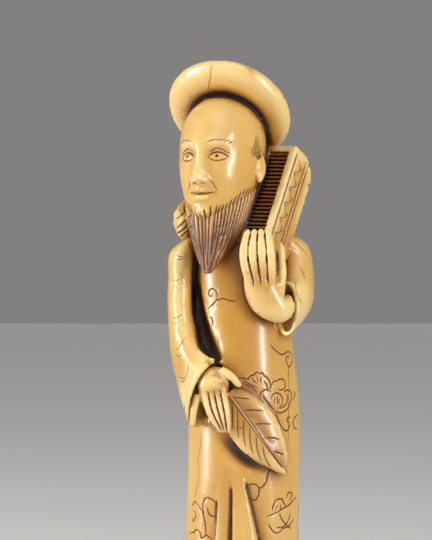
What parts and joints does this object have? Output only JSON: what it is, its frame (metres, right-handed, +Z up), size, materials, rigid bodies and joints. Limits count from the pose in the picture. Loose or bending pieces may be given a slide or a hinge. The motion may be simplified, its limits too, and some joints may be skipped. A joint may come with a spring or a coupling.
{
  "type": "netsuke",
  "caption": "Tall figure netsuke carved in ivory: a bearded sage in a long robe and broad hat, with a leaf in one hand and a banded case on the shoulder.",
  "frame": {"origin": "middle of the underside of the low base", "axes": "+Z up the figure, -Y the way the figure's body faces, +X towards the figure's left hand"},
  "size_m": [0.0294, 0.0265, 0.1194],
  "materials": {
    "ivory": "polished old ivory, honey brown, stained dark in the recesses"
  },
  "bodies": {
    "root": {"sage_figure": "ivory"}
  },
  "joints": []
}
